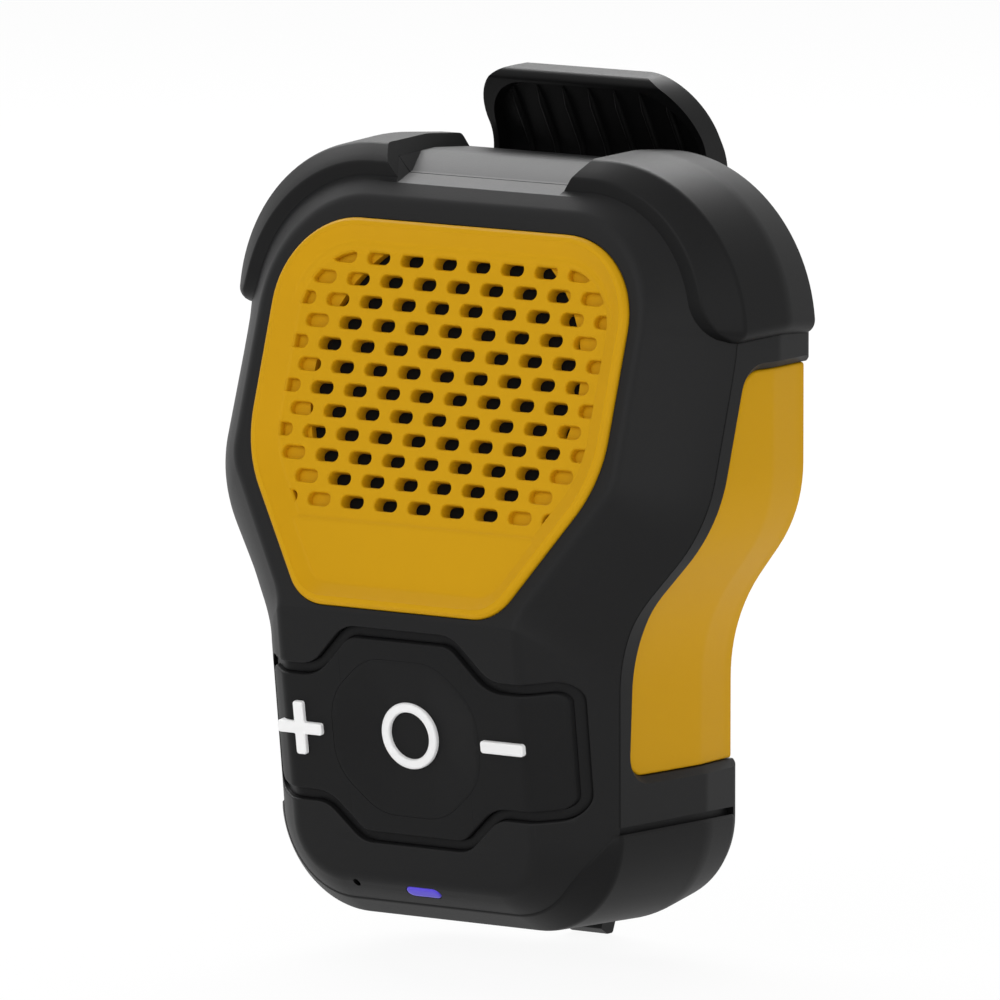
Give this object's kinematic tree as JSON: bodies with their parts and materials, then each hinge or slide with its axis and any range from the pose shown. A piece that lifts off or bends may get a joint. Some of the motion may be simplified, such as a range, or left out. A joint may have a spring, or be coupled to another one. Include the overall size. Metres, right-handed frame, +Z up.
{
  "type": "bluetooth speaker",
  "caption": "Wearable bluetooth speaker with a leaning slotted grille, raised keys, corner bumpers, coloured side panels and a sprung clip on its back.",
  "frame": {"origin": "middle of the bounding box in x and y, at the level of the clip tip", "axes": "x to the right as the grille is faced, y to the back, z up along the body"},
  "size_m": [0.0804, 0.0478, 0.1105],
  "materials": {
    "black_shell": "fine satin moulding",
    "black_rubber": "soft matte",
    "yellow": "satin moulding",
    "white_mark": "matte",
    "lens": "tinted diffuse light pipe",
    "cloth": "acoustic cloth",
    "foam": "foam",
    "steel": "plated",
    "spring_steel": "spring wire",
    "magnet": "ferrite",
    "paper": "pressed cone",
    "spider_cloth": "treated cloth",
    "copper": "enamelled wire",
    "board": "solder mask",
    "chip": "component",
    "cell": "wrapped pouch"
  },
  "bodies": {
    "speaker": {"front_housing": "black_shell", "rear_housing": "black_shell", "housing_seal": "foam", "housing_screws": "steel", "shoulder_bumper_left": "black_rubber", "shoulder_bumper_right": "black_rubber", "bottom_bumper": "black_rubber", "side_panel_left": "yellow", "side_panel_right": "yellow", "grille": "yellow", "grille_cloth": "cloth", "keypad": "black_rubber", "led_lens": "lens", "driver_gasket": "foam", "driver_basket": "steel", "driver_surround": "black_rubber", "driver_cone": "paper", "dust_cap": "paper", "voice_coil": "copper", "spider": "spider_cloth", "top_plate": "steel", "driver_magnet": "magnet", "driver_yoke": "steel", "driver_screws": "steel", "main_board": "board", "board_screws": "steel", "key_switches": "chip", "led_chip": "chip", "microphone": "chip", "bluetooth_module": "steel", "battery": "cell", "battery_foam": "foam", "usb_socket": "steel", "clip_bracket": "black_shell", "bracket_screws": "steel", "clip_pin": "steel", "clip_spring": "spring_steel"},
    "plus_key": {"key_plus": "black_rubber", "plus_mark": "white_mark"},
    "main_key": {"key_main": "black_rubber", "ring_mark": "white_mark"},
    "minus_key": {"key_minus": "black_rubber", "minus_mark": "white_mark"},
    "clip": {"clip_arm": "black_shell", "clip_pad": "black_rubber"},
    "port_cover": {"usb_cover": "black_rubber"}
  },
  "joints": [
    {"name": "plus_press", "type": "slide", "parent": "speaker", "child": "plus_key", "axis": [0, 0.9903, 0.1392], "range_m": [0, 0.0006], "stiffness_N_per_m": 1500},
    {"name": "main_press", "type": "slide", "parent": "speaker", "child": "main_key", "axis": [0, 0.9903, 0.1392], "range_m": [0, 0.0006], "stiffness_N_per_m": 1500},
    {"name": "minus_press", "type": "slide", "parent": "speaker", "child": "minus_key", "axis": [0, 0.9903, 0.1392], "range_m": [0, 0.0006], "stiffness_N_per_m": 1500},
    {"name": "clip_open", "type": "hinge", "parent": "speaker", "child": "clip", "pos_m": [0, 0.01766, 0.0844], "axis": [1, 0, 0], "range_deg": [0, 12], "stiffness_Nm_per_rad": 1.2, "springref_deg": -8.59, "deforming": ["clip_spring"]},
    {"name": "cover_open", "type": "hinge", "parent": "speaker", "child": "port_cover", "pos_m": [0, -0.00104, 0.0053], "axis": [1, 0, 0], "range_deg": [0, 95], "stiffness_Nm_per_rad": 0.004, "springref_deg": -17.19}
  ]
}
